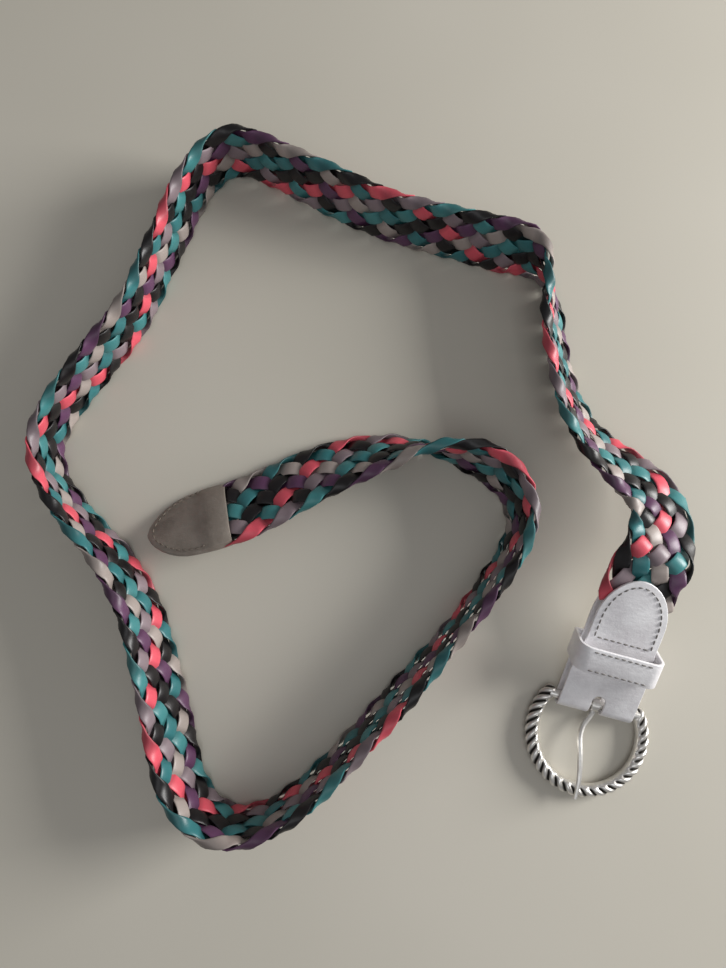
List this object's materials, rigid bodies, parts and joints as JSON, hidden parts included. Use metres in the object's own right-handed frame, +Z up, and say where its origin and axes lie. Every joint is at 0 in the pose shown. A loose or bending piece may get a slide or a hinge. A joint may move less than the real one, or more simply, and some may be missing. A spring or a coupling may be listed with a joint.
{
  "type": "belt",
  "caption": "Plaited leather belt lying on its edge in an open loop, with a leather billet, keeper loop, end tab and a rope-edged horseshoe buckle with a swinging prong.",
  "frame": {"origin": "on the plane that the belt lies on, under the middle of the box around it", "axes": "+Z up from the plane that the belt lies on, +Y from the buckle's end of the loop to its far end, +X to the buckle's side"},
  "size_m": [0.282, 0.3036, 0.035],
  "materials": {
    "plaited_leather": "shiny narrow strips in coral, teal, black, plum and silver-grey, plaited",
    "silver_leather": "silver-faced leather with a satin sheen and stitched edges",
    "antique_silver": "antique silver plate, bright on the ridges and dark in the grooves"
  },
  "bodies": {
    "belt": {"plait": "plaited_leather", "billet": "silver_leather", "keeper": "silver_leather", "tab": "silver_leather"},
    "frame": {"buckle_frame": "antique_silver"},
    "tongue": {"prong": "antique_silver"}
  },
  "joints": [
    {"name": "frame_swing", "type": "hinge", "parent": "belt", "child": "frame", "pos_m": [0.10274, -0.1, 0.00432], "axis": [-0.9659, 0.2588, 0], "range_deg": [-45, 45]},
    {"name": "prong_swing", "type": "hinge", "parent": "frame", "child": "tongue", "pos_m": [0.10274, -0.1, 0.00432], "axis": [-0.9659, 0.2588, 0], "range_deg": [0, 60]}
  ]
}
